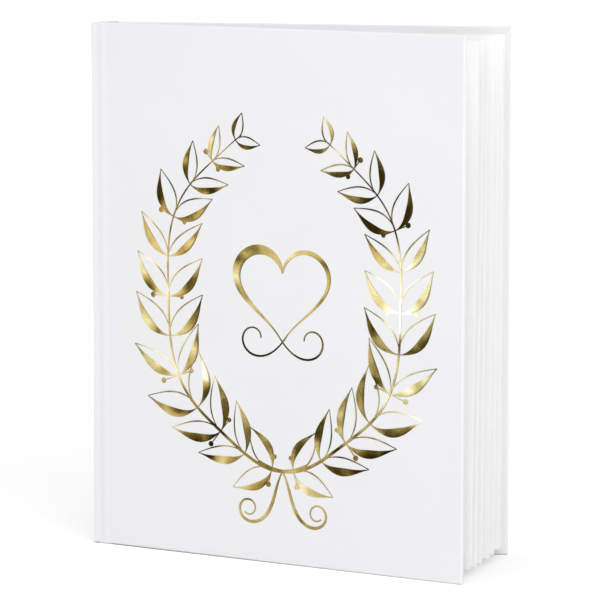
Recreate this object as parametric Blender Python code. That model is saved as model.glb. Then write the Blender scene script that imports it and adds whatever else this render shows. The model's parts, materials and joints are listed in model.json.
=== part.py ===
"""A hard-cover guest book that stands on its tail, part open, with its leaves fanned.

The book is built the way a case-bound book is: boards wrapped in one laminated sheet
with mitred turn-ins, endpapers, and a block of single card leaves held by a glued,
gauzed and lined back. Metres, +Z up. The tail stands on z = 0. X runs from the spine to
the fore-edge, Y from the front cover to the back cover, and the origin is the middle
of the spine panel's tail.

Each cover is drawn flat, as if the book were shut, in a frame at its hinge:
u runs away from the spine, v away from the block, z up. The hinge's empty then turns it.
"""
import math

import bmesh
import bpy
from mathutils import Matrix, Vector

MM = 0.001

# Driving dimensions of the case
COVER_HEIGHT = 245 * MM
COVER_WIDTH = 193.5 * MM          # from the spine's face to the fore-edge
BOARD_THICKNESS = 2.0 * MM
SPINE_BOARD_THICKNESS = 2.0 * MM
SHEET_THICKNESS = 0.3 * MM        # laminated sheet with its glue
TURN_IN = 15 * MM                 # how far the sheet is folded over each board
MITRE_SLIT = 0.25 * MM            # the two turn-ins meet at 45 degrees with this seam
EDGE_ROUND = 0.6 * MM             # outer edge of a wrapped board
EDGE_STEPS = 3
GLUE_LINE = 0.05 * MM             # clear line between two flat layers

# Driving dimensions of the endpapers and the block
ENDPAPER_THICKNESS = 0.2 * MM
PASTEDOWN_BORDER = 3.5 * MM       # turn-in left showing round the pastedown
LEAF_THICKNESS = 0.2 * MM
LEAF_CLEARANCE = 0.02 * MM        # least air between two leaves, at the widest fan
COVER_CLEARANCE = 0.1 * MM        # between the shut cover and the flyleaf
END_SQUARE = 3.75 * MM            # a cover stands out past the leaves, at head and tail
FORE_SQUARE = 2.9 * MM            # the same at the fore-edge
ROOT_CLEARANCE = 0.3 * MM         # from a leaf's root to the glue, and at other seats
SWING_CLEARANCE = 0.35 * MM       # from a turning board to the spine panel's corner
HOLLOW = 0.3 * MM                 # between the spine panel and the block's lining
GLUE_THICKNESS = 0.6 * MM
MULL_THICKNESS = 0.2 * MM
LINING_THICKNESS = 0.2 * MM
MULL_MARGIN = 2 * MM              # between the gauze and the band's tape or the turn-in
MULL_REACH = 26 * MM              # flange of the gauze on each board
BAND_TAPE = 12 * MM               # flat tape of a head or tail band
BAND_RADIUS = 0.9 * MM            # its rounded bead

# How the book stands: angles from the block's middle plane, in degrees
FRONT_COVER_ANGLE = 8.9
BACK_COVER_ANGLE = 8.9
FRONT_FLYLEAF_ANGLE = 7.6
BACK_FLYLEAF_ANGLE = 8.9
WIDEST_ANGLE = 45.0               # of a flyleaf, at the widest fan

# Leaves lie in bundles, front to back: how many leaves, and which share they take of
# the angle of the flyleaf on their side
FRONT_BUNDLE_COUNTS = (4, 4, 4)
FRONT_BUNDLE_SHARES = (0.69, 0.46, 0.19)
BACK_BUNDLE_COUNTS = (2, 4, 4)
BACK_BUNDLE_SHARES = (0.34, 0.61, 0.88)

# Worked out: the block
LARGEST_SHARE = max(FRONT_BUNDLE_SHARES + BACK_BUNDLE_SHARES)
LEAF_COUNT = sum(FRONT_BUNDLE_COUNTS + BACK_BUNDLE_COUNTS)
LEAF_PITCH = ((LEAF_THICKNESS + LEAF_CLEARANCE)
              / math.cos(math.radians(WIDEST_ANGLE * LARGEST_SHARE)))
# From the flyleaf's hinge, in its outer face, to the middle of the next leaf
FLYLEAF_PITCH = ((ENDPAPER_THICKNESS + LEAF_THICKNESS / 2 + LEAF_CLEARANCE)
                 / math.cos(math.radians(WIDEST_ANGLE)))
HALF_BLOCK = (LEAF_COUNT - 1) * LEAF_PITCH / 2 + FLYLEAF_PITCH
BLOCK_BOTTOM = END_SQUARE
BLOCK_TOP = COVER_HEIGHT - END_SQUARE
MULL_BOTTOM = max(BLOCK_BOTTOM + BAND_TAPE, TURN_IN) + MULL_MARGIN

# Worked out: layers of a shut cover, outward from the hinge's plane
PASTEDOWN_IN = COVER_CLEARANCE
PASTEDOWN_OUT = PASTEDOWN_IN + ENDPAPER_THICKNESS
TURN_IN_IN = PASTEDOWN_OUT + GLUE_LINE
TURN_IN_OUT = TURN_IN_IN + SHEET_THICKNESS
BOARD_IN = TURN_IN_OUT + GLUE_LINE
BOARD_OUT = BOARD_IN + BOARD_THICKNESS
SKIN_IN = BOARD_OUT + GLUE_LINE
COVER_OUT = SKIN_IN + SHEET_THICKNESS

# Worked out: layers of the spine, along X from the middle of its board
HALF_SPINE_BOARD = SPINE_BOARD_THICKNESS / 2
SPINE_FACE = HALF_SPINE_BOARD + GLUE_LINE + SHEET_THICKNESS
HALF_SPINE = HALF_BLOCK + COVER_OUT
LINING_X = SPINE_FACE + HOLLOW
MULL_X = LINING_X + LINING_THICKNESS + GLUE_LINE
GLUE_X = MULL_X + MULL_THICKNESS + GLUE_LINE
HINGE_X = GLUE_X + GLUE_THICKNESS

# Worked out: a cover's reach from its hinge
BOARD_START = math.hypot(HINGE_X + SPINE_FACE, COVER_OUT) + SWING_CLEARANCE
COVER_END = COVER_WIDTH - SPINE_FACE - HINGE_X
LEAF_END = COVER_END - FORE_SQUARE
EDGE_LAYER = SHEET_THICKNESS + GLUE_LINE
# The round edge leaves a third of the sheet over the board's corner
DIAGONAL = math.sqrt(2)
FOLD_RADIUS = min(EDGE_ROUND, (EDGE_LAYER * DIAGONAL - SHEET_THICKNESS / 3) / (DIAGONAL - 1))

PAPER = (0.93, 0.92, 0.89)
WHITE = (0.90, 0.90, 0.91)
GREY = (0.45, 0.43, 0.40)


def clear_scene():
    for old in list(bpy.data.objects):
        bpy.data.objects.remove(old, do_unlink=True)


def material(name, color, roughness):
    made = bpy.data.materials.new(name)
    made.use_nodes = True
    shader = made.node_tree.nodes["Principled BSDF"]
    shader.inputs["Base Color"].default_value = (*color, 1.0)
    shader.inputs["Roughness"].default_value = roughness
    shader.inputs["Metallic"].default_value = 0.0
    return made


def empty(name, place, degrees=0.0):
    """A hinge: its origin lies on the joint's axis, which is vertical."""
    made = bpy.data.objects.new(name, None)
    made.location = place
    made.rotation_euler = (0.0, 0.0, math.radians(degrees))
    bpy.context.collection.objects.link(made)
    return made


def node(name, bm, parent=None, finish=None):
    """Turn a bmesh into a named object that faces out, with a material of its own."""
    bmesh.ops.recalc_face_normals(bm, faces=bm.faces)
    mesh = bpy.data.meshes.new(name)
    bm.to_mesh(mesh)
    bm.free()
    made = bpy.data.objects.new(name, mesh)
    bpy.context.collection.objects.link(made)
    made.parent = parent
    color, roughness = finish
    mesh.materials.append(material(name + "_material", color, roughness))
    return made


def box(low, high):
    """A closed box between two corners, given in any order."""
    bm = bmesh.new()
    low, high = Vector(low), Vector(high)
    size = high - low
    place = Matrix.Translation((low + high) / 2)
    bmesh.ops.create_cube(bm, size=1.0, matrix=place @ Matrix.Diagonal((*size, 1.0)))
    return bm


def prism(outline, bottom, top):
    """An outline in the XY plane, extruded up from bottom to top."""
    bm = bmesh.new()
    face = bm.faces.new([bm.verts.new((x, y, bottom)) for x, y in outline])
    grown = bmesh.ops.extrude_face_region(bm, geom=[face])
    risen = [item for item in grown["geom"] if isinstance(item, bmesh.types.BMVert)]
    bmesh.ops.translate(bm, verts=risen, vec=(0.0, 0.0, top - bottom))
    return bm


def cutter(name, bm, parent):
    """A closed shape that cuts another; it is a guide and not a piece."""
    made = node(name, bm, parent, (GREY, 1.0))
    made.hide_render = True
    made.display_type = "WIRE"
    return made


def cut(target, tool):
    modifier = target.modifiers.new(tool.name, "BOOLEAN")
    modifier.operation = "DIFFERENCE"
    modifier.solver = "EXACT"
    modifier.object = tool


def round_edges(bm, keep):
    """Round the edges that keep(edge) picks, as a folded sheet rounds over a board."""
    bmesh.ops.recalc_face_normals(bm, faces=bm.faces)
    bmesh.ops.bevel(bm, geom=[edge for edge in bm.edges if keep(edge)],
                    offset=FOLD_RADIUS, segments=EDGE_STEPS, profile=0.5,
                    affect="EDGES", clamp_overlap=True)
    return bm


def wrapped_shell(side, name, hinge):
    """The sheet round one cover board: outer face, three folded edges and turn-ins.

    side is -1 for the front cover and +1 for the back one, because v grows
    towards -Y on the front and +Y on the back.
    """
    def flat(u, v, z):
        return (u, side * v, z)

    bm = box(flat(BOARD_START, TURN_IN_IN, 0.0), flat(COVER_END, COVER_OUT, COVER_HEIGHT))
    spine_end = BOARD_START + FOLD_RADIUS

    def folded(edge):
        return any(vert.co.x > spine_end for vert in edge.verts)

    shell = node(name, round_edges(bm, folded), hinge, (WHITE, 0.45))
    beyond = BOARD_START - SWING_CLEARANCE
    room = box(flat(beyond, TURN_IN_OUT, EDGE_LAYER),
               flat(COVER_END - EDGE_LAYER, SKIN_IN, COVER_HEIGHT - EDGE_LAYER))
    window = box(flat(beyond, 0.0, TURN_IN),
                 flat(COVER_END - TURN_IN, (TURN_IN_OUT + BOARD_IN) / 2, COVER_HEIGHT - TURN_IN))
    cut(shell, cutter(name + "_room", room, hinge))
    cut(shell, cutter(name + "_window", window, hinge))
    for label, corner_z, rise in (("tail", 0.0, 1.0), ("head", COVER_HEIGHT, -1.0)):
        slit = mitre_slit(side, corner_z, rise)
        cut(shell, cutter(f"{name}_{label}_mitre", slit, hinge))
    return shell


def mitre_slit(side, corner_z, rise):
    """The 45 degree seam where the fore-edge turn-in meets the head or tail one."""
    reach = TURN_IN + SHEET_THICKNESS
    start = EDGE_LAYER + ROOT_CLEARANCE
    half = MITRE_SLIT / 2 / DIAGONAL
    inner, outer = 0.0, (TURN_IN_OUT + BOARD_IN) / 2
    bm = bmesh.new()
    corners = []
    for along, offset in ((start, -half), (reach, -half), (reach, half), (start, half)):
        u = COVER_END - along + offset
        z = corner_z + rise * (along + offset)
        corners.append(bm.verts.new((u, side * inner, z)))
    face = bm.faces.new(corners)
    grown = bmesh.ops.extrude_face_region(bm, geom=[face])
    moved = [item for item in grown["geom"] if isinstance(item, bmesh.types.BMVert)]
    bmesh.ops.translate(bm, verts=moved, vec=(0.0, side * (outer - inner), 0.0))
    return bm


def cover(side, label, hinge):
    """Board, wrap, gauze flange and pastedown of one cover, shut flat at its hinge."""
    def slab(u0, u1, v0, v1, z0, z1):
        return box((u0, side * v0, z0), (u1, side * v1, z1))

    wrapped_shell(side, f"{label}_cover_wrap", hinge)
    board = slab(BOARD_START, COVER_END - EDGE_LAYER - GLUE_LINE, BOARD_IN, BOARD_OUT,
                 EDGE_LAYER + GLUE_LINE, COVER_HEIGHT - EDGE_LAYER - GLUE_LINE)
    node(f"{label}_board", board, hinge, (GREY, 0.9))

    # The gauze lies on the board between the turn-ins, in the layer that they take up
    gauze_in = (TURN_IN_IN + TURN_IN_OUT - MULL_THICKNESS) / 2
    gauze = slab(BOARD_START, BOARD_START + MULL_REACH, gauze_in, gauze_in + MULL_THICKNESS,
                 MULL_BOTTOM, COVER_HEIGHT - MULL_BOTTOM)
    node(f"{label}_mull_flange", gauze, hinge, (PAPER, 0.95))

    pastedown = slab(BOARD_START, COVER_END - PASTEDOWN_BORDER, PASTEDOWN_IN, PASTEDOWN_OUT,
                     PASTEDOWN_BORDER, COVER_HEIGHT - PASTEDOWN_BORDER)
    node(f"{label}_pastedown", pastedown, hinge, (PAPER, 0.8))


def turned(side, u, v, degrees):
    """World X and Y of a point u, v of a cover that stands open by some degrees."""
    angle = math.radians(degrees)
    x = HINGE_X + u * math.cos(angle) - v * math.sin(angle)
    y = side * (HALF_BLOCK + u * math.sin(angle) + v * math.cos(angle))
    return (x, y)


def joint_strips(side, label, cover_angle):
    """What bends when a cover opens: the sheet's joint, and the endpaper's fold in it."""
    start_out = (SPINE_FACE + ROOT_CLEARANCE, side * HALF_SPINE)
    start_in = (start_out[0], side * (HALF_SPINE - SHEET_THICKNESS))
    start_double = (start_out[0], side * (HALF_SPINE - 2 * SHEET_THICKNESS))
    end = BOARD_START - ROOT_CLEARANCE
    end_out = turned(side, end, COVER_OUT, cover_angle)
    end_in = turned(side, end, COVER_OUT - SHEET_THICKNESS, cover_angle)
    end_double = turned(side, end, COVER_OUT - 2 * SHEET_THICKNESS, cover_angle)

    # The sheet is doubled where it is turned in, at the head and the tail
    bm = prism((start_out, end_out, end_in, start_in), 0.0, COVER_HEIGHT)
    strip = node(f"{label}_joint_wrap", bm, None, (WHITE, 0.45))
    for place, low, high in (("tail", 0.0, TURN_IN), ("head", COVER_HEIGHT - TURN_IN, COVER_HEIGHT)):
        middle_start = tuple((a + b) / 2 for a, b in zip(start_out, start_in))
        middle_end = tuple((a + b) / 2 for a, b in zip(end_out, end_in))
        outline = (middle_start, middle_end, end_double, start_double)
        doubled = cutter(f"{label}_joint_{place}", prism(outline, low, high), None)
        modifier = strip.modifiers.new(doubled.name, "BOOLEAN")
        modifier.operation = "UNION"
        modifier.solver = "EXACT"
        modifier.object = doubled

    outline = [turned(side, u, v, cover_angle)
               for u, v in ((ROOT_CLEARANCE, PASTEDOWN_IN), (end, PASTEDOWN_IN),
                            (end, PASTEDOWN_OUT), (ROOT_CLEARANCE, PASTEDOWN_OUT))]
    fold = prism(outline, PASTEDOWN_BORDER, COVER_HEIGHT - PASTEDOWN_BORDER)
    node(f"{label}_endpaper_joint", fold, None, (PAPER, 0.8))


def sheet_of_paper(name, hinge, side, thickness, inner):
    """A leaf on its hinge, from its root to the fore-edge.

    inner is how far its outer face lies inside the hinge's plane, 0 on a flyleaf,
    whose outer face is the hinge's plane.
    """
    near, far = side * inner, side * (inner - thickness)
    bm = box((ROOT_CLEARANCE, near, BLOCK_BOTTOM), (LEAF_END, far, BLOCK_TOP))
    return node(name, bm, hinge, (PAPER, 0.8))


def leaf_angles():
    """The signed rest angle of each leaf, front to back: minus leans to the front."""
    halves = ((FRONT_BUNDLE_COUNTS, FRONT_BUNDLE_SHARES, -FRONT_FLYLEAF_ANGLE),
              (BACK_BUNDLE_COUNTS, BACK_BUNDLE_SHARES, BACK_FLYLEAF_ANGLE))
    angles = []
    for counts, shares, flyleaf_angle in halves:
        for count, share in zip(counts, shares):
            angles += [share * flyleaf_angle] * count
    return angles


def block():
    first = -(LEAF_COUNT - 1) * LEAF_PITCH / 2
    for index, degrees in enumerate(leaf_angles()):
        place = (HINGE_X, first + index * LEAF_PITCH, 0.0)
        name = f"leaf_{index + 1:02d}"
        hinge = empty(name + "_hinge", place, degrees)
        sheet_of_paper(name, hinge, 1, LEAF_THICKNESS, LEAF_THICKNESS / 2)


def spine_wrap():
    """The sheet round the spine board, folded in at head, tail and both joints."""
    bm = box((-SPINE_FACE, -HALF_SPINE, 0.0), (SPINE_FACE, HALF_SPINE, COVER_HEIGHT))

    def folded(edge):
        return all(vert.co.x < 0 for vert in edge.verts)

    shell = node("spine_wrap", round_edges(bm, folded), None, (WHITE, 0.45))
    board_room = HALF_SPINE_BOARD + GLUE_LINE
    room = box((-board_room, EDGE_LAYER - HALF_SPINE, EDGE_LAYER),
               (board_room, HALF_SPINE - EDGE_LAYER, COVER_HEIGHT - EDGE_LAYER))
    window = box((0.0, EDGE_LAYER - HALF_SPINE, TURN_IN),
                 (SPINE_FACE + HOLLOW, HALF_SPINE - EDGE_LAYER, COVER_HEIGHT - TURN_IN))
    cut(shell, cutter("spine_wrap_room", room, None))
    cut(shell, cutter("spine_wrap_window", window, None))
    inset = EDGE_LAYER + GLUE_LINE
    board = box((-HALF_SPINE_BOARD, inset - HALF_SPINE, inset),
                (HALF_SPINE_BOARD, HALF_SPINE - inset, COVER_HEIGHT - inset))
    node("spine_board", board, None, (GREY, 0.9))


def block_back():
    """Glue, gauze and lining on the back of the block, and the two bands."""
    layers = (("spine_glue", GLUE_X, GLUE_THICKNESS, BLOCK_BOTTOM, (PAPER, 0.4)),
              ("spine_mull", MULL_X, MULL_THICKNESS, MULL_BOTTOM, (PAPER, 0.95)),
              ("spine_lining", LINING_X, LINING_THICKNESS, BLOCK_BOTTOM, (PAPER, 0.85)))
    for name, start, thickness, low, finish in layers:
        bm = box((start, -HALF_BLOCK, low), (start + thickness, HALF_BLOCK, COVER_HEIGHT - low))
        node(name, bm, None, finish)
    band("tail_band", BLOCK_BOTTOM, -1.0)
    band("head_band", BLOCK_TOP, 1.0)


def band(name, edge_z, rise):
    """A woven band: a flat tape on the block's back and a round bead over its end."""
    steps = 6
    half = HALF_BLOCK - BAND_RADIUS / 3
    seat = edge_z + rise * ROOT_CLEARANCE
    centre = MULL_X + BAND_RADIUS
    profile = [(MULL_X, edge_z - rise * BAND_TAPE),
               (MULL_X + MULL_THICKNESS, edge_z - rise * BAND_TAPE),
               (MULL_X + MULL_THICKNESS, seat), (MULL_X + 2 * BAND_RADIUS, seat)]
    for step in range(1, steps):
        angle = math.pi * step / steps
        profile.append((centre + BAND_RADIUS * math.cos(angle),
                        seat + rise * BAND_RADIUS * math.sin(angle)))
    profile.append((MULL_X, seat))
    bm = bmesh.new()
    face = bm.faces.new([bm.verts.new((x, -half, z)) for x, z in profile])
    grown = bmesh.ops.extrude_face_region(bm, geom=[face])
    moved = [item for item in grown["geom"] if isinstance(item, bmesh.types.BMVert)]
    bmesh.ops.translate(bm, verts=moved, vec=(0.0, 2 * half, 0.0))
    made = node(name, bm, None, (WHITE, 0.7))
    made.data.shade_smooth()
    made.data.set_sharp_from_angle(angle=math.radians(40))


def half_of_case(side, label, cover_angle, flyleaf_angle):
    """One cover and its flyleaf, on the two hinges that share the block's edge."""
    place = (HINGE_X, side * HALF_BLOCK, 0.0)
    cover(side, label, empty(f"{label}_cover_hinge", place, side * cover_angle))
    flyleaf_hinge = empty(f"{label}_pages_hinge", place, side * flyleaf_angle)
    sheet_of_paper(f"{label}_flyleaf", flyleaf_hinge, side, ENDPAPER_THICKNESS, 0.0)
    joint_strips(side, label, cover_angle)


def build():
    clear_scene()
    spine_wrap()
    block_back()
    half_of_case(-1, "front", FRONT_COVER_ANGLE, FRONT_FLYLEAF_ANGLE)
    half_of_case(1, "back", BACK_COVER_ANGLE, BACK_FLYLEAF_ANGLE)
    block()


build()
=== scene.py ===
"""Looks of a white hard-cover guest book that stands part open on its tail.

The covering sheet, the leaves and the gold foil are modelled here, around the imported
solids. Lengths are metres in the frame of the solids. A cover has a frame of its own at
its hinge: u runs to the fore-edge, v outward from the block, and z up.
"""
import json
import math

import bmesh
import bpy
from mathutils import Matrix, Vector


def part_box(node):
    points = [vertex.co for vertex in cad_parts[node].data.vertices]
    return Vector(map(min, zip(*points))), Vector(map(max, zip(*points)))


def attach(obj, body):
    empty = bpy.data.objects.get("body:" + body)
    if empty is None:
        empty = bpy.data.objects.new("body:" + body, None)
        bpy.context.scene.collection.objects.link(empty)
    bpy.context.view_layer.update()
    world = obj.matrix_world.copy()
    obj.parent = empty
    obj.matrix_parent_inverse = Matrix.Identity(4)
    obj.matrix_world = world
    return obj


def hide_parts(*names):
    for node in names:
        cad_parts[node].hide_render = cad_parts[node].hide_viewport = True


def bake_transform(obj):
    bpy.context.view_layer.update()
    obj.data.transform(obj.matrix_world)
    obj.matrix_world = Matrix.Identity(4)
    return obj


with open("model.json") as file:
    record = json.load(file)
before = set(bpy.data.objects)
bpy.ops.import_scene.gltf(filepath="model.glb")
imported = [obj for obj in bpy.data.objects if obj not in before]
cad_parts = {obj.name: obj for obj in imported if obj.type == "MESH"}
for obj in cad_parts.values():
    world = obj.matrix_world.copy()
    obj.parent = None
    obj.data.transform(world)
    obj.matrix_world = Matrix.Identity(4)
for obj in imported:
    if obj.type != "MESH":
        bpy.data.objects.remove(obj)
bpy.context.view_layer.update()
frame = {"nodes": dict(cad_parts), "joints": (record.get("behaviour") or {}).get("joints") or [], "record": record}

MM = 0.001

# Covering sheet
SHEET = 0.28 * MM
SIDE_REACH = SHEET / 4        # a face whose middle lies this near to a side belongs to it
TURN_IN = 15 * MM
EDGE_ROUND = 0.75 * MM
EDGE_STEPS = 5
MITRE_SEAM = 0.06 * MM
SEAM_REACH = 0.6 * MITRE_SEAM
JOINT_THICKNESS = 0.30 * MM
JOINT_ROUND = 0.8 * JOINT_THICKNESS
JOINT_BULGE = 0.30 * MM
JOINT_MIDDLE = 0.5            # share of the joint at which its two strips meet
JOINT_SWEEP = (0.74, 0.90)    # shares between which the outer strip has its finest steps
INNER_STEPS = 8
OUTER_STEPS = (5, 16, 3)      # before, in and after the sweep
ENDPAPER = 0.18 * MM
ENDPAPER_ROUND = ENDPAPER / 4

# The endpaper's fold, in the cover's u and v: it rises from the flyleaf's root, follows
# the joint and comes down the board's edge.
FOLD_LINE = ((0.3, 0.1), (0.3, 2.2), (2.4, 2.6), (5.0, 2.4), (5.55, 2.6), (5.44, 1.2),
             (5.44, 0.1))
FOLD_SWEEP = ((4.7, 2.3), (5.6, 0.2))
FOLD_STEPS = 36

# Leaves
LEAF_COLUMNS = 14
LEAF_ROWS = 18

# How a bundle leans: where its tail and its head lie on the blend from the leaf's own
# body, at 0, to the spine, at 1, and how much further on the next leaf's head or tail lies
FRONT_LEAN = ((0.12, 0.44, 0.02), (0.12, 0.56, 0.025), (0.14, 0.70, 0.035))
BACK_LEAN = ((0.42, 0.10, -0.04), (0.32, 0.10, -0.02), (0.15, 0.02, -0.03))
FRONT_BUNDLES = (4, 4, 4)
BACK_BUNDLES = (2, 4, 4)

# Foil, in the cover's u and z. Angles are degrees. The right hand mirrors the left.
FOIL_LIFT = 0.01 * MM
FOIL_HEIGHT = 0.05 * MM
STROKE_RISE = 0.02            # share of that height between one stroke and the next
FOIL_PAINTED_DARK_SIDE = Vector((0.94, -0.34))   # side of a stroke where its pressed edge gets a painted dark reflection
PAINTED_DARK_LAYER = "painted_dark_side"
HAIRLINE = 0.7 * MM
SHADE = 4.2 * MM              # widest part of a pen stroke
CURL_STEPS = 64
CURL_LATE = 2.2               # above 1, a curl turns ever more towards its end

WREATH_CENTRE = (98 * MM, 123 * MM)
WREATH_HALF_WIDTH = 62 * MM
WREATH_HALF_HEIGHT = 78 * MM
WREATH_START = -102           # from the middle of a side, at the foot
WREATH_END = 70
WREATH_WAVES = 3
WREATH_WAVE = 0.025           # share of the radius
STEM_STEPS = 90
STEM_FOOT = 1.7 * MM
STEM_TIP = 0.5 * MM

LEAF_PAIRS = 12
LEAF_FIRST, LEAF_LAST = 0.10, 0.98         # shares of the stem
LEAF_LENGTH = 27 * MM
LEAF_STEPS = 20
LEAF_LEAN_IN, LEAF_LEAN_OUT = 46, 38       # from the stem
LEAF_FAT, LEAF_FAT_CHANGE = 0.155, 0.03    # bulge of a side, as a share of the length
LEAF_BELLY = 0.8                           # below 1, a leaf is widest near its root

# Outer and inner berry: angle from the stem, stalk and radius
BERRIES = ((-88, 8.5 * MM, 1.3 * MM), (92, 7.5 * MM, 1.1 * MM))
BERRY_STEPS = 14
BERRY_STALK = 0.7 * HAIRLINE

FOOT_CURL_SPREAD = 30         # from straight down
FOOT_CURL_LENGTH = 62 * MM
FOOT_CURL_TURN = 470
FOOT_CURL_SWAY = 46
FOOT_CURL_WIDTH = 2.4 * HAIRLINE

HEART_HALF_WIDTH = 24 * MM
HEART_RAISED = 0.15           # share of the half width
HEART_START, HEART_END = 0.015, 0.86       # of the half turn from its cleft to its point
HEART_SHADES = (1.15 * SHADE, 0.55 * SHADE)
HEART_TAIL_LENGTH = 46 * MM
HEART_TAIL_TURN = 330
HEART_TAIL_SWAY = 14
HEART_TAIL_WIDTH = 1.5 * HAIRLINE

# Camera: the direction it looks in, and the point that it looks towards
CAMERA_YAW = 20.21
CAMERA_PITCH = 7.95
CAMERA_DISTANCE = 1.658
CAMERA_AIM = Vector((0.09, 0.0, 0.1225))
CAMERA_RIGHT = -0.0090
CAMERA_UP = 0.0036
FOCAL_PIXELS = 3605
FRAME_PIXELS = 600
SENSOR_MM = 36.0
CAMERA_CLIP = (0.05, 60.0)

# Light: azimuth from +X in degrees, elevation, distance, diameter and level
AMBIENT = 0.64
LIGHTS = {"top": (-60, 80, 5.0, 5.0, 0.22), "window": (-50, 24, 5.0, 5.6, 0.48)}

# Floor: how much it is lifted near the book, and the distances between which that grows
FLOOR_HALF = 20.0
FLOOR_GAP = 0.02 * MM
FLOOR_LIFT = 0.15
SWEEP_START = 0.30
SWEEP_END = 0.75

# Painted contact shadow, a dark line in the floor's colour where the book meets the floor:
# how far it reaches, and how much of the sky a place sees where it is darkest and where it ends
PAINTED_SHADOW_REACH = 1.6 * MM
PAINTED_SHADOW_DARK = 0.30
PAINTED_SHADOW_CLEAR = 0.80
PAINTED_SHADOW_COLOR = (0.10, 0.10, 0.11)
PAINTED_SHADOW_FAINT = 0.8           # how much it has faded at the front cover's fore-edge
PAINTED_SHADOW_FADE = 190 * MM       # how far from there it begins to fade

WHITE = (1.0, 1.0, 1.0)
BLACK = (0.0, 0.0, 0.0)

joints = {joint["name"]: joint for joint in frame["joints"]}
mounts = {mount["name"]: mount for mount in frame["record"]["mounts"]}


# ---------------------------------------------------------------- frames and meshes

def extent(name, into):
    """Lowest and highest corner of a node in the frame that a matrix leads into."""
    points = [into @ vert.co for vert in frame["nodes"][name].data.vertices]
    low = Vector([min(point[axis] for point in points) for axis in range(3)])
    high = Vector([max(point[axis] for point in points) for axis in range(3)])
    return low, high


class Cover:
    """One cover's own frame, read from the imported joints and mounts."""

    def __init__(self, label, side):
        self.label = label
        self.side = side
        normal = Vector(mounts[f"{label}_cover_face"]["axis"])
        along = side * Vector((normal.y, -normal.x, 0.0))
        hinge = Vector(joints[f"{label}_cover_hinge"]["pos_m"])
        turn = Matrix((along, normal, Vector((0.0, 0.0, 1.0)))).transposed()
        self.matrix = Matrix.Translation(hinge) @ turn.to_4x4()
        self.angle = math.atan2(abs(along.y), along.x)
        self.low, self.high = self.extent(f"{label}_cover_wrap")

    def extent(self, name):
        """Lowest and highest u, v and z of a node."""
        return extent(name, self.matrix.inverted())

    def point(self, u, v, z):
        return self.matrix @ Vector((u, v, z))


def finish_mesh(name, bm, matrix=None, smooth=35.0):
    """A bmesh as an object in the scene, facing out and smooth up to an angle."""
    if matrix is not None:
        bmesh.ops.transform(bm, matrix=matrix, verts=bm.verts)
    bmesh.ops.recalc_face_normals(bm, faces=bm.faces)
    mesh = bpy.data.meshes.new(name)
    bm.to_mesh(mesh)
    bm.free()
    made = bpy.data.objects.new(name, mesh)
    bpy.context.scene.collection.objects.link(made)
    mesh.shade_smooth()
    mesh.set_sharp_from_angle(angle=math.radians(smooth))
    return made


def thicken(made, smooth=35.0):
    """Give a skin the thickness of the covering sheet, inward."""
    shell = made.modifiers.new("sheet", "SOLIDIFY")
    shell.thickness = SHEET
    shell.offset = -1.0
    bpy.context.view_layer.update()
    result = made.evaluated_get(bpy.context.evaluated_depsgraph_get())
    mesh = bpy.data.meshes.new_from_object(result)
    made.modifiers.clear()
    made.data = mesh
    mesh.shade_smooth()
    mesh.set_sharp_from_angle(angle=math.radians(smooth))


def box_mesh(low, high):
    bm = bmesh.new()
    low, high = Vector(low), Vector(high)
    place = Matrix.Translation((low + high) / 2)
    bmesh.ops.create_cube(bm, size=1.0, matrix=place @ Matrix.Diagonal((*(high - low), 1.0)))
    return bm


def skin(bm, rows):
    """Skin equal rings of vertices, one after the other, and cap both ends."""
    count = len(rows[0])
    for row, following in zip(rows, rows[1:]):
        for index in range(count):
            after = (index + 1) % count
            bm.faces.new((row[index], row[after], following[after], following[index]))
    bm.faces.new(rows[0])
    bm.faces.new(reversed(rows[-1]))


def rings_mesh(rings):
    """A closed mesh through equal rings of points."""
    bm = bmesh.new()
    skin(bm, [[bm.verts.new(point) for point in ring] for ring in rings])
    return bm


def round_edges(bm, edges):
    bmesh.ops.bevel(bm, geom=edges, offset=EDGE_ROUND, segments=EDGE_STEPS, profile=0.5,
                    affect="EDGES", clamp_overlap=True)


def cut(bm, faces, place, normal):
    """Cut faces in two along a plane."""
    geom = faces + list({edge for face in faces for edge in face.edges})
    geom += list({vert for face in faces for vert in face.verts})
    bmesh.ops.bisect_plane(bm, geom=geom, plane_co=place, plane_no=normal)


def smoothstep(value):
    value = min(max(value, 0.0), 1.0)
    return value * value * (3 - 2 * value)


# ---------------------------------------------------------------- materials

def new_material(name, roughness, metallic=0.0, specular=0.5):
    """A Principled material, with its node tree, shader and object coordinates."""
    made = bpy.data.materials.new(name)
    made.use_nodes = True
    nodes = made.node_tree.nodes
    shader = nodes["Principled BSDF"]
    shader.inputs["Roughness"].default_value = roughness
    shader.inputs["Metallic"].default_value = metallic
    shader.inputs["Specular IOR Level"].default_value = specular
    coords = nodes.new("ShaderNodeTexCoord")
    return made, made.node_tree, shader, coords.outputs["Object"]


def noise(tree, coords, scale, detail=3.0, roughness=0.5, stretch=None, distortion=0.0):
    """A noise texture in object coordinates, stretched along an axis where asked."""
    if stretch is not None:
        mapping = tree.nodes.new("ShaderNodeMapping")
        mapping.inputs["Scale"].default_value = stretch
        tree.links.new(coords, mapping.inputs["Vector"])
        coords = mapping.outputs["Vector"]
    made = tree.nodes.new("ShaderNodeTexNoise")
    made.inputs["Scale"].default_value = scale
    made.inputs["Detail"].default_value = detail
    made.inputs["Roughness"].default_value = roughness
    made.inputs["Distortion"].default_value = distortion
    tree.links.new(coords, made.inputs["Vector"])
    return made.outputs["Fac"]


def mixed(tree, first, second, share):
    """Two grey values mixed, with a share of the second."""
    made = tree.nodes.new("ShaderNodeMix")
    made.data_type = "FLOAT"
    made.inputs["Factor"].default_value = share
    tree.links.new(first, made.inputs["A"])
    tree.links.new(second, made.inputs["B"])
    return made.outputs["Result"]


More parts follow.
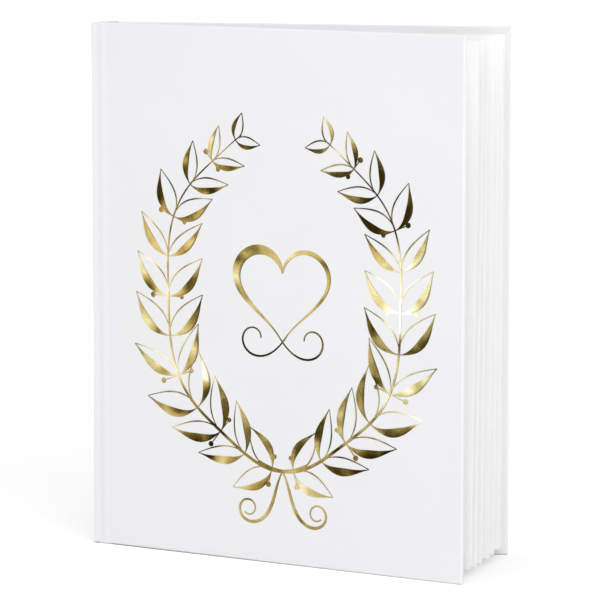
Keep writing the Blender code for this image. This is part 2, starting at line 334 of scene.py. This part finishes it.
def mixed_color(tree, factor, first, second, kind="MIX"):
    """Two colours mixed. Each of the three is a node's output or a plain value."""
    made = tree.nodes.new("ShaderNodeMix")
    made.data_type = "RGBA"
    made.blend_type = kind
    colors = [port for port in made.inputs if port.type == "RGBA"]
    for port, value in zip([made.inputs["Factor"]] + colors, (factor, first, second)):
        if isinstance(value, bpy.types.NodeSocket):
            tree.links.new(value, port)
        elif isinstance(value, tuple):
            port.default_value = (*value, 1.0)
        else:
            port.default_value = value
    return next(port for port in made.outputs if port.type == "RGBA")


def faded(tree, coords, center, near, far, at_near, at_far):
    """A value that runs smoothly from one to another between two distances of a point."""
    reach = tree.nodes.new("ShaderNodeVectorMath")
    reach.operation = "DISTANCE"
    tree.links.new(coords, reach.inputs[0])
    reach.inputs[1].default_value = (center.x, center.y, 0.0)
    spread = tree.nodes.new("ShaderNodeMapRange")
    spread.interpolation_type = "SMOOTHSTEP"
    spread.inputs["From Min"].default_value = near
    spread.inputs["From Max"].default_value = far
    spread.inputs["To Min"].default_value = at_near
    spread.inputs["To Max"].default_value = at_far
    tree.links.new(reach.outputs["Value"], spread.inputs["Value"])
    return spread.outputs["Result"]


def ramp(tree, value, *stops):
    """A colour ramp through stops of position and colour."""
    made = tree.nodes.new("ShaderNodeValToRGB")
    elements = made.color_ramp.elements
    while len(elements) < len(stops):
        elements.new(0.5)
    for element, (position, color) in zip(elements, stops):
        element.position = position
        element.color = (*color, 1.0)
    tree.links.new(value, made.inputs["Fac"])
    return made.outputs["Color"]


def bump(tree, shader, height, strength, distance, before=None):
    """Bump from a height; before is an earlier bump that this one adds to."""
    made = tree.nodes.new("ShaderNodeBump")
    made.inputs["Strength"].default_value = strength
    made.inputs["Distance"].default_value = distance
    tree.links.new(height, made.inputs["Height"])
    if before is not None:
        tree.links.new(before, made.inputs["Normal"])
    tree.links.new(made.outputs["Normal"], shader.inputs["Normal"])
    return made.outputs["Normal"]


def vary_roughness(tree, shader, value, low, high):
    spread = tree.nodes.new("ShaderNodeMapRange")
    spread.inputs["To Min"].default_value = low
    spread.inputs["To Max"].default_value = high
    tree.links.new(value, spread.inputs["Value"])
    tree.links.new(spread.outputs["Result"], shader.inputs["Roughness"])


def laminate():
    """Matt film over white printed paper: a faint fine grain and a soft waviness."""
    made, tree, shader, coords = new_material("matt_laminate", 0.5, specular=0.35)
    broad = noise(tree, coords, 28, detail=2.0)
    grain = noise(tree, coords, 2600, detail=2.0)
    pores = noise(tree, coords, 900, detail=4.0, roughness=0.6)
    color = ramp(tree, broad, (0.3, (0.815, 0.816, 0.830)), (0.7, (0.827, 0.828, 0.842)))
    tree.links.new(color, shader.inputs["Base Color"])
    vary_roughness(tree, shader, pores, 0.42, 0.58)
    wave = bump(tree, shader, broad, 0.25, 0.6 * MM)
    first = bump(tree, shader, pores, 0.12, 0.03 * MM, wave)
    bump(tree, shader, grain, 0.10, 0.015 * MM, first)
    return made


def paper(name, light, dark):
    """Uncoated card: short fibres, a little mottling and a dry, rough surface."""
    made, tree, shader, coords = new_material(name, 0.85, specular=0.2)
    mottle = noise(tree, coords, 160, detail=5.0, roughness=0.65)
    fibre = noise(tree, coords, 700, detail=3.0, stretch=(1.0, 1.0, 0.22), distortion=0.4)
    tooth = noise(tree, coords, 2200, detail=2.0)
    color = ramp(tree, mottle, (0.32, dark), (0.68, light))
    tree.links.new(color, shader.inputs["Base Color"])
    vary_roughness(tree, shader, fibre, 0.78, 0.92)
    first = bump(tree, shader, fibre, 0.22, 0.03 * MM)
    bump(tree, shader, tooth, 0.20, 0.02 * MM, first)
    return made


def greyboard():
    """Pressed grey pulp with lighter and darker specks."""
    made, tree, shader, coords = new_material("greyboard", 0.95, specular=0.15)
    speck = noise(tree, coords, 1400, detail=4.0, roughness=0.7)
    color = ramp(tree, speck, (0.3, (0.30, 0.28, 0.25)), (0.55, (0.45, 0.43, 0.39)),
                 (0.8, (0.58, 0.56, 0.52)))
    tree.links.new(color, shader.inputs["Base Color"])
    bump(tree, shader, speck, 0.4, 0.08 * MM)
    return made


def woven(name, thread, gap, threads_per_metre):
    """An open or close weave from two crossed bands of sine waves."""
    made, tree, shader, coords = new_material(name, 0.9, specular=0.2)
    fields = []
    for direction in ("Z", "Y"):
        wave = tree.nodes.new("ShaderNodeTexWave")
        wave.bands_direction = direction
        wave.inputs["Scale"].default_value = threads_per_metre
        wave.inputs["Distortion"].default_value = 0.6
        wave.inputs["Detail"].default_value = 1.0
        tree.links.new(coords, wave.inputs["Vector"])
        fields.append(wave.outputs["Fac"])
    top = tree.nodes.new("ShaderNodeMath")
    top.operation = "MAXIMUM"
    tree.links.new(fields[0], top.inputs[0])
    tree.links.new(fields[1], top.inputs[1])
    color = ramp(tree, top.outputs["Value"], (0.35, gap), (0.75, thread))
    tree.links.new(color, shader.inputs["Base Color"])
    bump(tree, shader, top.outputs["Value"], 0.6, 0.12 * MM)
    return made


def glue():
    """Dried white glue, a little cloudy."""
    made, tree, shader, coords = new_material("binding_glue", 0.35, specular=0.5)
    cloud = noise(tree, coords, 240, detail=3.0)
    color = ramp(tree, cloud, (0.3, (0.80, 0.77, 0.66)), (0.7, (0.90, 0.88, 0.80)))
    tree.links.new(color, shader.inputs["Base Color"])
    bump(tree, shader, cloud, 0.35, 0.2 * MM)
    return made


def gold_foil():
    """Hot-stamped foil: painted reflections, patches of colour painted dark and light as if the
    foil mirrored dark and bright surroundings, some warmer than others, with a fine speckle
    and a painted dark reflection along one side of each stroke."""
    made, tree, shader, coords = new_material("gold_foil", 0.3, metallic=1.0)
    sweep = noise(tree, coords, 26, detail=1.0, distortion=0.8)
    patch = noise(tree, coords, 85, detail=1.0, distortion=0.4)
    speckle = noise(tree, coords, 1700, detail=3.0, roughness=0.7)
    tone = mixed(tree, mixed(tree, sweep, patch, 0.34), speckle, 0.14)
    # Painted reflections: the darkest and palest stops stand for dark and bright surroundings mirrored in the
    # foil.
    color = ramp(tree, tone, (0.41, (0.022, 0.015, 0.002)), (0.455, (0.110, 0.084, 0.020)),
                 (0.50, (0.34, 0.265, 0.090)), (0.545, (0.50, 0.43, 0.190)),
                 (0.585, (0.73, 0.68, 0.42)), (0.635, (0.98, 0.97, 0.85)))
    warmth = noise(tree, coords, 15, detail=0.0)
    tint = ramp(tree, warmth, (0.42, WHITE), (0.58, (1.0, 0.90, 0.76)))
    warm = mixed_color(tree, 1.0, color, tint, "MULTIPLY")
    # Painted dark reflection: the side of each stroke that the layer marks is darkened in the colour.
    edge = tree.nodes.new("ShaderNodeAttribute")
    edge.attribute_name = PAINTED_DARK_LAYER
    uneven = mixed(tree, edge.outputs["Fac"], patch, 0.30)
    shade = ramp(tree, uneven, (0.40, BLACK), (0.78, (0.85, 0.85, 0.85)))
    shaded = mixed_color(tree, shade, warm, (0.045, 0.032, 0.006))
    tree.links.new(shaded, shader.inputs["Base Color"])
    vary_roughness(tree, shader, speckle, 0.18, 0.45)
    first = bump(tree, shader, patch, 0.3, 0.5 * MM)
    bump(tree, shader, speckle, 0.2, 0.03 * MM, first)
    return made


# ---------------------------------------------------------------- covering sheet

def sheet_cuts(low, high):
    """Planes along the turn-ins' inner edges and both sides of each mitre seam."""
    planes = [((high.x - TURN_IN, 0, 0), (1, 0, 0)), ((0, 0, low.z + TURN_IN), (0, 0, 1)),
              ((0, 0, high.z - TURN_IN), (0, 0, 1))]
    for corner, rise in ((low.z, 1), (high.z, -1)):
        for shift in (-MITRE_SEAM / 2, MITRE_SEAM / 2):
            normal = Vector((1.0, 0.0, rise)).normalized()
            planes.append((Vector((high.x, 0, corner)) + normal * shift, normal))
    return planes


def cover_sheet(cover, finish):
    """The sheet round one board: rounded folds, turn-ins and their mitre seams."""
    low, high = cover.low, cover.high
    bm = box_mesh(low, high)
    bmesh.ops.recalc_face_normals(bm, faces=bm.faces)
    start = low.x + EDGE_ROUND
    round_edges(bm, [edge for edge in bm.edges if any(vert.co.x > start for vert in edge.verts)])
    ends = [face for face in bm.faces if all(vert.co.x < start for vert in face.verts)]
    bmesh.ops.delete(bm, geom=ends, context="FACES")

    def inside():
        return [face for face in bm.faces
                if face.calc_center_median().y < low.y + SIDE_REACH]

    def left_open(face):
        centre = face.calc_center_median()
        from_fore = high.x - centre.x
        from_end = min(centre.z - low.z, high.z - centre.z)
        in_window = from_fore > TURN_IN and from_end > TURN_IN
        in_seam = abs(from_fore - from_end) < SEAM_REACH and from_fore > EDGE_ROUND
        return in_window or in_seam

    for place, normal in sheet_cuts(low, high):
        cut(bm, inside(), place, normal)
    opened = [face for face in inside() if left_open(face)]
    bmesh.ops.delete(bm, geom=opened, context="FACES")
    made = finish_mesh(f"{cover.label}_cover_sheet", bm, cover.matrix)
    thicken(made)
    made.data.materials.append(finish)
    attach(made, f"{cover.label}_cover")
    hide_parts(f"{cover.label}_cover_wrap")


def spine_sheet(finish):
    """The sheet's spine panel, turned in at head and tail."""
    low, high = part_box("spine_wrap")
    bm = box_mesh(low, high)
    bmesh.ops.recalc_face_normals(bm, faces=bm.faces)
    edges = [edge for edge in bm.edges if all(vert.co.x < 0 for vert in edge.verts)]
    edges += [edge for edge in bm.edges if all(vert.co.z > high.z - SHEET for vert in edge.verts)
              or all(vert.co.z < low.z + SHEET for vert in edge.verts)]
    round_edges(bm, list(set(edges)))

    def inside():
        return [face for face in bm.faces
                if face.calc_center_median().x > high.x - SIDE_REACH]

    for place in (low.z + TURN_IN, high.z - TURN_IN):
        cut(bm, inside(), (0, 0, place), (0, 0, 1))
    opened = [face for face in inside()
              if low.z + TURN_IN < face.calc_center_median().z < high.z - TURN_IN]
    bmesh.ops.delete(bm, geom=opened, context="FACES")
    made = finish_mesh("spine_sheet", bm)
    thicken(made)
    made.data.materials.append(finish)
    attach(made, "spine")
    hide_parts("spine_wrap")


def ribbon(name, path, normals, thickness, bottom, top, round_end):
    """A strip that stands up along a path in XY, with rounded head and tail edges."""
    rings = []
    for place, normal in zip(path, normals):
        ring = []
        for end, sign in ((bottom, 1), (top, -1)):
            arc = []
            for step in range(EDGE_STEPS + 1):
                turn = math.pi / 2 * step / EDGE_STEPS
                depth = -round_end * (1 - math.sin(turn))
                height = end + sign * round_end * (1 - math.cos(turn))
                arc.append((depth, height))
            arc = [(-thickness, end)] + arc
            ring += arc if sign > 0 else arc[::-1]
        rings.append([(place[0] + normal[0] * depth, place[1] + normal[1] * depth, height)
                      for depth, height in ring])
    return finish_mesh(name, rings_mesh(rings))


def hermite(start, start_slope, end, end_slope, share):
    """A point and its direction on a cubic curve between two places and directions."""
    s, s2, s3 = share, share ** 2, share ** 3
    weights = (2 * s3 - 3 * s2 + 1, s3 - 2 * s2 + s, 3 * s2 - 2 * s3, s3 - s2)
    rates = (6 * s2 - 6 * s, 3 * s2 - 4 * s + 1, 6 * s - 6 * s2, 3 * s2 - 2 * s)
    parts = (start, start_slope, end, end_slope)
    place = sum((w * p for w, p in zip(weights, parts)), Vector((0.0, 0.0)))
    direction = sum((r * p for r, p in zip(rates, parts)), Vector((0.0, 0.0)))
    return place, direction.normalized()


def bezier(controls, share):
    """A point and its direction on the curve of a row of control points."""
    row = [Vector(control) for control in controls]
    while len(row) > 2:
        row = [first.lerp(second, share) for first, second in zip(row, row[1:])]
    return row[0].lerp(row[1], share), (row[1] - row[0]).normalized()


def spaced(first, last, steps):
    """Values from first up to, but without, last."""
    return [first + (last - first) * step / steps for step in range(steps)]


def joint_line(cover):
    """Line and normals of the sheet's outer side from the spine to the cover, as a
    function of the share of the way."""
    spine_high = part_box("spine_wrap")[1]
    side = cover.side
    start = Vector((spine_high.x, side * spine_high.y))
    end = cover.point(cover.low.x, cover.high.y, 0.0).to_2d()
    span = (end - start).length
    along = Vector((math.cos(cover.angle), side * math.sin(cover.angle)))

    def at(share):
        place, way = hermite(start, Vector((span, 0.0)), end, along * span, share)
        normal = Vector((-side * way.y, side * way.x))
        return place + normal * JOINT_BULGE * math.sin(math.pi * share) ** 2, normal
    return at


def joint_sheets(cover, finish):
    """The sheet between spine and cover, in two strips that meet half way.

    The first runs from the spine to the middle and the second from there to the cover. The
    flyleaf's joint and the cover's share one axis. The second turns close to the board.
    """
    at = joint_line(cover)
    sweep_start, sweep_end = JOINT_SWEEP
    before, during, after = OUTER_STEPS
    inner = spaced(0.0, JOINT_MIDDLE, INNER_STEPS) + [JOINT_MIDDLE]
    outer = (spaced(JOINT_MIDDLE, sweep_start, before)
             + spaced(sweep_start, sweep_end, during) + spaced(sweep_end, 1.0, after) + [1.0])
    flyleaf = f"{cover.label}_flyleaf"
    parts = (("inner", inner, (0.0, JOINT_MIDDLE), "spine", flyleaf),
             ("outer", outer, JOINT_SWEEP, flyleaf, f"{cover.label}_cover"))
    for place, shares, turning, first, second in parts:
        path, normals = zip(*[at(share) for share in shares])
        strip = ribbon(f"{cover.label}_joint_{place}", path, normals, JOINT_THICKNESS,
                       cover.low.z, cover.high.z, JOINT_ROUND)
        strip.data.materials.append(finish)
        low, high = (at(share)[0] for share in turning)
        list(low)
        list(high)
        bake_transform(strip)
        if place == "inner":
            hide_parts(f"{cover.label}_joint_wrap")


def endpaper_fold(cover, finish):
    """The fold of the endpaper, from the flyleaf's root over the joint to the board."""
    low, high = cover.extent(f"{cover.label}_endpaper_joint")

    def place(point):
        return cover.point(point[0] * MM, point[1] * MM, 0.0)

    path, normals = [], []
    for share in spaced(0.0, 1.0, FOLD_STEPS) + [1.0]:
        point, way = bezier(FOLD_LINE, share)
        facing = cover.matrix.to_3x3() @ Vector((-way.y, way.x, 0.0))
        path.append(place(point).to_2d())
        normals.append(facing.to_2d())
    fold = ribbon(f"{cover.label}_endpaper_fold", path, normals, ENDPAPER, low.z, high.z,
                  ENDPAPER_ROUND)
    fold.data.materials.append(finish)
    start, end = (place(point) for point in FOLD_SWEEP)
    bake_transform(fold)
    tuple(start)
    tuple(end)
    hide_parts(f"{cover.label}_endpaper_joint")


# ---------------------------------------------------------------- leaves

def rest_angle(name):
    """The angle that a sheet of paper stands at, from its root to its fore-edge."""
    verts = [vert.co for vert in frame["nodes"][name].data.vertices]
    middle = (min(vert.x for vert in verts) + max(vert.x for vert in verts)) / 2
    near = [vert for vert in verts if vert.x < middle]
    far = [vert for vert in verts if vert.x > middle]
    root = sum(near, Vector()) / len(near)
    edge = sum(far, Vector()) / len(far)
    return math.atan2(edge.y - root.y, edge.x - root.x)


def leaf_sheet(name, joint, tail_at, head_at, finish):
    """A leaf as a fine grid that leans: one end of it stands nearer to the block's middle
    plane than the other, and turns less. tail_at and head_at are places on the blend."""
    hinge = Vector(joints[joint]["pos_m"])
    angle = rest_angle(name)
    low, high = extent(name, Matrix.Rotation(-angle, 4, "Z") @ Matrix.Translation(-hinge))
    height = high.z - low.z
    rings = []
    for row in range(LEAF_ROWS + 1):
        z = low.z + height * row / LEAF_ROWS
        held = smoothstep(tail_at + (head_at - tail_at) * row / LEAF_ROWS)
        turn = Matrix.Rotation(angle * (1 - held), 4, "Z")
        ring = []
        for side_y, columns in ((low.y, range(LEAF_COLUMNS + 1)),
                                (high.y, range(LEAF_COLUMNS, -1, -1))):
            for column in columns:
                x = low.x + (high.x - low.x) * column / LEAF_COLUMNS
                ring.append(hinge + turn @ Vector((x, side_y, z)))
        rings.append(ring)
    made = finish_mesh(f"{name}_sheet", rings_mesh(rings), smooth=30.0)
    made.data.materials.append(finish)
    if tail_at == head_at:
        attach(made, name)
    else:
        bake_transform(made)
    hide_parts(name)


def leaves(finish):
    """All leaves, bundle by bundle from the front. In front the heads lean to the middle
    plane, and at the back the tails do."""
    number = 1
    for bundles, leans, front in ((FRONT_BUNDLES, FRONT_LEAN, True),
                                  (BACK_BUNDLES, BACK_LEAN, False)):
        for count, (tail_at, head_at, step) in zip(bundles, leans):
            for index in range(count):
                tail = tail_at if front else tail_at + step * index
                head = head_at + step * index if front else head_at
                name = f"leaf_{number:02d}"
                leaf_sheet(name, f"{name}_turn", tail, head, finish)
                number += 1


# ---------------------------------------------------------------- foil

def foil_strokes(name, strokes, cover, finish):
    """Strokes of foil on a cover. Each is its centre line in u and z, with its widths.

    Each lies a hair higher than the one before, so that no two faces coincide. The layer
    tells the foil how far a vertex lies on a stroke's side with the painted dark reflection.
    """
    bm = bmesh.new()
    painted_dark_side = bm.verts.layers.float.new(PAINTED_DARK_LAYER)
    face_v = cover.high.y + FOIL_LIFT
    for index, (points, widths) in enumerate(strokes):
        crown = face_v + FOIL_HEIGHT * (1 + STROKE_RISE * index)
        shoulder = (face_v + 2 * crown) / 3
        rows = []
        for place, (u, z) in enumerate(points):
            before = Vector(points[max(place - 1, 0)])
            after = Vector(points[min(place + 1, len(points) - 1)])
            direction = (after - before).normalized()
            across = Vector((-direction.y, direction.x)) * widths[place] / 2
            ring = ((1, face_v), (1, shoulder), (0, crown), (-1, shoulder), (-1, face_v))
            rows.append([bm.verts.new((u + side * across.x, v, z + side * across.y))
                         for side, v in ring])
            # How far each vertex lies on the side that gets the painted dark reflection
            for vert, (side, _) in zip(rows[-1], ring):
                vert[painted_dark_side] = side * across.normalized().dot(FOIL_PAINTED_DARK_SIDE)
        skin(bm, rows)
    made = finish_mesh(name, bm, cover.matrix, smooth=50.0)
    made.data.materials.append(finish)
    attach(made, f"{cover.label}_cover")


def curve_points(function, count):
    return [function(index / count) for index in range(count + 1)]


def swelling(count, least, most, peak=0.5):
    """Widths that swell once from a hairline to a shade and back."""
    power = math.log(0.5) / math.log(peak)
    return [least + (most - least) * math.sin(math.pi * (index / count) ** power) ** 2
            for index in range(count + 1)]


def curl(root, degrees, length, turn, sway=0.0):
    """A pen line that sets out along degrees and winds in until it has turned by turn.

    sway bends its first half the other way, as the start of a flourish does.
    """
    points = [root]
    u, z = root
    for index in range(CURL_STEPS):
        share = (index + 0.5) / CURL_STEPS
        heading = math.radians(degrees + turn * share ** CURL_LATE
                               - sway * math.sin(math.pi * share))
        u += math.cos(heading) * length / CURL_STEPS
        z += math.sin(heading) * length / CURL_STEPS
        points.append((u, z))
    return points


def heading_at(at, share):
    """Which way a curve runs at a share of its length, in degrees."""
    (u, z), (ahead_u, ahead_z) = at(share), at(share + 0.01)
    return math.degrees(math.atan2(ahead_z - z, ahead_u - u))


def foil_leaf(root, degrees, length, fat, shade):
    """A leaf drawn with a pen: a shaded stroke on one side and a hairline on the other."""
    turn = math.radians(degrees)

    def side_curve(bulge):
        def at(share):
            along = length * share
            out = bulge * math.sin(math.pi * share ** LEAF_BELLY) * length
            u = root[0] + along * math.cos(turn) - out * math.sin(turn)
            z = root[1] + along * math.sin(turn) + out * math.cos(turn)
            return (u, z)
        return at

    full = swelling(LEAF_STEPS, HAIRLINE / 2, shade, peak=0.45)
    thin = swelling(LEAF_STEPS, HAIRLINE / 2, HAIRLINE)
    return [(curve_points(side_curve(fat), LEAF_STEPS), full),
            (curve_points(side_curve(-fat), LEAF_STEPS), thin)]


def berry(root, degrees, stalk, radius):
    """A round drop of foil at the end of a short hairline."""
    turn = math.radians(degrees)
    centre = (root[0] + stalk * math.cos(turn), root[1] + stalk * math.sin(turn))
    line = ([root, centre], [BERRY_STALK] * 2)

    def at(share):
        along = (2 * share - 1) * radius
        return (centre[0] + along * math.cos(turn), centre[1] + along * math.sin(turn))

    least = 0.002    # so that the drop's ends don't close to a point
    widths = [2 * radius * math.sqrt(max(1 - (2 * index / BERRY_STEPS - 1) ** 2, least))
              for index in range(BERRY_STEPS + 1)]
    return [line, (curve_points(at, BERRY_STEPS), widths)]


def leaf_size(share):
    """Leaves are largest at mid stem and smallest at its tip."""
    return math.sin(math.pi * (0.20 + 0.72 * share)) ** 0.6


def spray(hand):
    """One side of the wreath, as the strokes of its stem, leaves, curled end and berries."""
    def at(share):
        angle = math.radians(WREATH_START + (WREATH_END - WREATH_START) * share)
        wave = 1 + WREATH_WAVE * math.sin(2 * math.pi * WREATH_WAVES * share)
        return (WREATH_CENTRE[0] + hand * WREATH_HALF_WIDTH * wave * math.cos(angle),
                WREATH_CENTRE[1] + WREATH_HALF_HEIGHT * wave * math.sin(angle))

    stem = (curve_points(at, STEM_STEPS),
            [STEM_FOOT + (STEM_TIP - STEM_FOOT) * index / STEM_STEPS
             for index in range(STEM_STEPS + 1)])
    leaves_drawn, berries = [], []
    for index in range(LEAF_PAIRS):
        share = LEAF_FIRST + (LEAF_LAST - LEAF_FIRST) * index / (LEAF_PAIRS - 1)
        root, heading = at(share), heading_at(at, share)
        size = leaf_size(share)
        for side, lean in ((hand, LEAF_LEAN_IN), (-hand, LEAF_LEAN_OUT)):
            plump = side * (LEAF_FAT + LEAF_FAT_CHANGE * math.cos(4 * index))
            leaves_drawn += foil_leaf(root, heading + side * lean, LEAF_LENGTH * size,
                                      plump, SHADE * size)
        if index % 2 == 0:
            for turn, stalk, radius in BERRIES:
                berries += berry(root, heading + hand * turn, stalk * size, radius)
    foot = at((-90 - WREATH_START) / (WREATH_END - WREATH_START))
    tendril = (curl(foot, -90 + hand * FOOT_CURL_SPREAD, FOOT_CURL_LENGTH,
                    hand * FOOT_CURL_TURN, hand * FOOT_CURL_SWAY),
               swelling(CURL_STEPS, HAIRLINE, FOOT_CURL_WIDTH, peak=0.35))
    return [stem], leaves_drawn, [tendril], berries


def wreath(cover, finish):
    """Two sprays of pen-drawn leaves, mirrored, that cross at the foot of the wreath."""
    kinds = ("foil_stems", "foil_leaves", "foil_tendrils", "foil_berries")
    for kind, left, right in zip(kinds, spray(-1), spray(1)):
        foil_strokes(kind, left + right, cover, finish)


def heart(cover, finish):
    """A heart of two pen strokes, one shaded and one fine, whose tails cross and curl."""
    strokes = []
    for hand, shade in zip((-1, 1), HEART_SHADES):
        def at(share, hand=hand):
            angle = math.pi * (HEART_START + (HEART_END - HEART_START) * share)
            u = hand * math.sin(angle) ** 3
            z = (13 * math.cos(angle) - 5 * math.cos(2 * angle) - 2 * math.cos(3 * angle)
                 - math.cos(4 * angle)) / 16
            return (WREATH_CENTRE[0] + HEART_HALF_WIDTH * u,
                    WREATH_CENTRE[1] + HEART_HALF_WIDTH * (z + HEART_RAISED))

        strokes.append((curve_points(at, STEM_STEPS),
                        swelling(STEM_STEPS, HAIRLINE, shade, peak=0.42)))
        tail = curl(at(1.0), heading_at(at, 0.99), HEART_TAIL_LENGTH,
                    -hand * HEART_TAIL_TURN, hand * HEART_TAIL_SWAY)
        strokes.append((tail, swelling(CURL_STEPS, HAIRLINE, HEART_TAIL_WIDTH)))
    foil_strokes("foil_heart", strokes, cover, finish)


# ---------------------------------------------------------------- stage

def studio(cover):
    """White floor and world, soft light, and the camera."""
    bpy.context.scene.view_settings.view_transform = "Standard"
    surroundings()
    floor_sheet(cover)
    for name, (azimuth, elevation, distance, size, level) in LIGHTS.items():
        area_light(name, azimuth, elevation, distance, size, level)
    aim_camera()


def surroundings():
    """A world that lights the book evenly, and is white where it is seen."""
    world = bpy.data.worlds.new("studio")
    world.use_nodes = True
    bpy.context.scene.world = world
    tree = world.node_tree
    ambient = tree.nodes["Background"]
    ambient.inputs["Color"].default_value = (*WHITE, 1.0)
    ambient.inputs["Strength"].default_value = AMBIENT
    seen = tree.nodes.new("ShaderNodeBackground")
    seen.inputs["Color"].default_value = (*WHITE, 1.0)
    seen.inputs["Strength"].default_value = 1.0
    mix = tree.nodes.new("ShaderNodeMixShader")
    tree.links.new(seen_rays(tree), mix.inputs["Fac"])
    tree.links.new(ambient.outputs["Background"], mix.inputs[1])
    tree.links.new(seen.outputs["Background"], mix.inputs[2])
    tree.links.new(mix.outputs["Shader"], tree.nodes["World Output"].inputs["Surface"])


def floor_sheet(cover):
    bm = bmesh.new()
    bmesh.ops.create_grid(bm, x_segments=1, y_segments=1, size=FLOOR_HALF)
    floor = finish_mesh("floor", bm)
    floor.location.z = -FLOOR_GAP
    foot = cover.point(cover.high.x, cover.high.y, cover.low.z)
    floor.data.materials.append(floor_material(foot))


def aim_camera():
    """A camera that shows the book as large, as turned and as far off as in the photo."""
    yaw, pitch = math.radians(CAMERA_YAW), math.radians(CAMERA_PITCH)
    looking = Vector((-math.sin(yaw) * math.cos(pitch), math.cos(yaw) * math.cos(pitch),
                      -math.sin(pitch)))
    right = Vector((math.cos(yaw), math.sin(yaw), 0.0))
    up = right.cross(looking)
    data = bpy.data.cameras.new("camera")
    made = bpy.data.objects.new("camera", data)
    bpy.context.scene.collection.objects.link(made)
    data.sensor_width = SENSOR_MM
    data.lens = FOCAL_PIXELS / FRAME_PIXELS * SENSOR_MM
    data.clip_start, data.clip_end = CAMERA_CLIP
    made.location = (CAMERA_AIM - looking * CAMERA_DISTANCE
                     - right * CAMERA_RIGHT - up * CAMERA_UP)
    made.rotation_euler = (math.pi / 2 - pitch, 0.0, yaw)
    bpy.context.scene.camera = made


def seen_rays(tree):
    """1 for rays that see the background: from the camera, or in gloss or glass."""
    path = tree.nodes.new("ShaderNodeLightPath")
    seen = path.outputs["Is Camera Ray"]
    for kind in ("Is Glossy Ray", "Is Transmission Ray"):
        either = tree.nodes.new("ShaderNodeMath")
        either.operation = "MAXIMUM"
        tree.links.new(seen, either.inputs[0])
        tree.links.new(path.outputs[kind], either.inputs[1])
        seen = either.outputs["Value"]
    return seen


def floor_material(foot):
    """White paper sweep. Where it is seen it is lifted to white, more so further out, and
    it keeps the shadow round the book, with a painted contact shadow: a dark line painted into
    its colour where the book meets it. The painted line is faint near foot."""
    made, tree, shader, coords = new_material("floor_paper", 0.9, specular=0.1)
    tone = noise(tree, coords, 30, detail=2.0)
    color = ramp(tree, tone, (0.3, (0.955, 0.955, 0.955)), (0.7, (0.965, 0.965, 0.965)))
    # Painted contact shadow: ambient occlusion darkens the floor's colour where the book meets it, fainter near
    # foot.
    nearness = tree.nodes.new("ShaderNodeAmbientOcclusion")
    nearness.inputs["Distance"].default_value = PAINTED_SHADOW_REACH
    line = ramp(tree, nearness.outputs["AO"], (PAINTED_SHADOW_DARK, BLACK), (PAINTED_SHADOW_CLEAR, WHITE))
    fade = faded(tree, coords, foot, 0.0, PAINTED_SHADOW_FADE, PAINTED_SHADOW_FAINT, 0.0)
    painted_contact_shadow = mixed_color(tree, fade, line, WHITE)
    toned = mixed_color(tree, painted_contact_shadow, PAINTED_SHADOW_COLOR, color)
    tree.links.new(toned, shader.inputs["Base Color"])
    spread = faded(tree, coords, CAMERA_AIM, SWEEP_START, SWEEP_END, FLOOR_LIFT, 1.0)
    lift = tree.nodes.new("ShaderNodeMath")
    lift.operation = "MULTIPLY"
    tree.links.new(seen_rays(tree), lift.inputs[0])
    tree.links.new(spread, lift.inputs[1])
    glow = tree.nodes.new("ShaderNodeEmission")
    tree.links.new(lift.outputs["Value"], glow.inputs["Strength"])
    tree.links.new(painted_contact_shadow, glow.inputs["Color"])
    both = tree.nodes.new("ShaderNodeAddShader")
    tree.links.new(shader.outputs["BSDF"], both.inputs[0])
    tree.links.new(glow.outputs["Emission"], both.inputs[1])
    tree.links.new(both.outputs["Shader"], tree.nodes["Material Output"].inputs["Surface"])
    return made


def area_light(name, azimuth, elevation, distance, size, level):
    """A soft round light. level is how bright white card that faces it becomes, which is
    the light's energy over the square of pi times its distance."""
    turn, rise = math.radians(azimuth), math.radians(elevation)
    away = Vector((math.cos(turn) * math.cos(rise), math.sin(turn) * math.cos(rise),
                   math.sin(rise)))
    data = bpy.data.lights.new(name, "AREA")
    data.shape = "DISK"
    data.size = size
    data.energy = level * (math.pi * distance) ** 2
    lamp = bpy.data.objects.new(name, data)
    lamp.location = CAMERA_AIM + away * distance
    lamp.rotation_euler = away.to_track_quat("Z", "Y").to_euler()
    bpy.context.scene.collection.objects.link(lamp)


# ---------------------------------------------------------------- the book

def dress(names, finish):
    """Give CAD nodes that keep their shape a finish of their own."""
    for name in names:
        made = frame["nodes"][name]
        made.data.materials.clear()
        made.data.materials.append(finish)


def build():
    """Every piece of the book, then the stage round it."""
    sheet = laminate()
    card = paper("leaf_card", (0.988, 0.988, 0.986), (0.970, 0.970, 0.967))
    endpaper = paper("endpaper", (0.982, 0.982, 0.979), (0.962, 0.962, 0.958))
    foil = gold_foil()
    covers = [Cover("front", -1), Cover("back", 1)]
    spine_sheet(sheet)
    for cover in covers:
        cover_sheet(cover, sheet)
        joint_sheets(cover, sheet)
        endpaper_fold(cover, endpaper)
        leaf_sheet(f"{cover.label}_flyleaf", f"{cover.label}_pages_fan", 0.0, 0.0, endpaper)
    leaves(card)
    dress(["front_board", "back_board", "spine_board"], greyboard())
    # Painted shade: the pastedowns are a darker copy of the endpaper's paper, so that they stay off white where a
    # folded-back cover turns them to the light.
    dress(["front_pastedown", "back_pastedown"],
          paper("pastedown", (0.835, 0.834, 0.829), (0.815, 0.814, 0.808)))
    dress(["front_mull_flange", "back_mull_flange", "spine_mull"],
          woven("gauze", (0.86, 0.84, 0.78), (0.52, 0.49, 0.42), 260))
    dress(["head_band", "tail_band"],
          woven("band_cloth", (0.93, 0.92, 0.90), (0.66, 0.64, 0.60), 420))
    dress(["spine_glue"], glue())
    dress(["spine_lining"], paper("kraft", (0.74, 0.62, 0.44), (0.62, 0.50, 0.34)))
    wreath(covers[0], foil)
    heart(covers[0], foil)
    studio(covers[0])


build()
